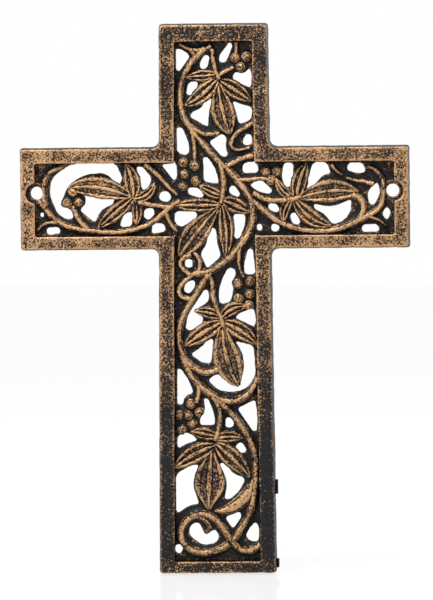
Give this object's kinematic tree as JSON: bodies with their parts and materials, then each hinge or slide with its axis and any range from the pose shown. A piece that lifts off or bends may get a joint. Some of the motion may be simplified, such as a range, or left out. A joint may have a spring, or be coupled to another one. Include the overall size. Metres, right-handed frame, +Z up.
{
  "type": "wall cross",
  "caption": "Cast-iron wall cross: a raised border round a pierced panel of vines, ivy leaves and berries, with a screw hole at the end of each arm.",
  "frame": {"origin": "midway between the two screw holes, on the flat back that lies against the wall", "axes": "+Z up along the post, +X to the viewer's right along the arms, -Y out of the front; the back is the plane y = 0"},
  "size_m": [0.216, 0.012, 0.305],
  "materials": {
    "bronzed_iron": "black paint dry-brushed with antique bronze on the high spots",
    "black_iron": "satin black paint over sand-cast iron"
  },
  "bodies": {
    "root": {"berries_crossing": "bronzed_iron", "berries_left_arm": "bronzed_iron", "berries_lower_post": "bronzed_iron", "berries_middle_post": "bronzed_iron", "berries_right_arm": "bronzed_iron", "berries_top_arm": "bronzed_iron", "berry_stems_crossing": "bronzed_iron", "border_frame": "bronzed_iron", "branches_crossing": "bronzed_iron", "branches_left_arm": "bronzed_iron", "branches_lower_post": "bronzed_iron", "branches_post": "bronzed_iron", "branches_right_arm": "bronzed_iron", "branches_top_arm": "bronzed_iron", "curl_left_arm": "bronzed_iron", "curl_right_arm": "bronzed_iron", "gate_stub_lower": "bronzed_iron", "gate_stub_upper": "bronzed_iron", "leaf_crossing": "bronzed_iron", "leaf_foot": "bronzed_iron", "leaf_left_arm": "bronzed_iron", "leaf_middle_post": "bronzed_iron", "leaf_right_arm": "bronzed_iron", "leaf_top_arm": "bronzed_iron", "screw_boss_left": "black_iron", "screw_boss_right": "black_iron", "scroll_curl": "bronzed_iron", "scroll_foot": "bronzed_iron", "sheath_foot": "bronzed_iron", "tendrils_top_arm": "bronzed_iron", "vine_foot": "bronzed_iron", "vine_left_arm": "bronzed_iron", "vine_lower_post": "bronzed_iron", "vine_middle_post": "bronzed_iron", "vine_right_arm": "bronzed_iron", "vine_top_arm": "bronzed_iron", "vine_upper_post": "bronzed_iron", "web_crossing": "black_iron", "web_left_arm": "black_iron", "web_lower_post": "black_iron", "web_right_arm": "black_iron", "web_top_arm": "black_iron", "web_upper_post": "black_iron"}
  },
  "joints": []
}
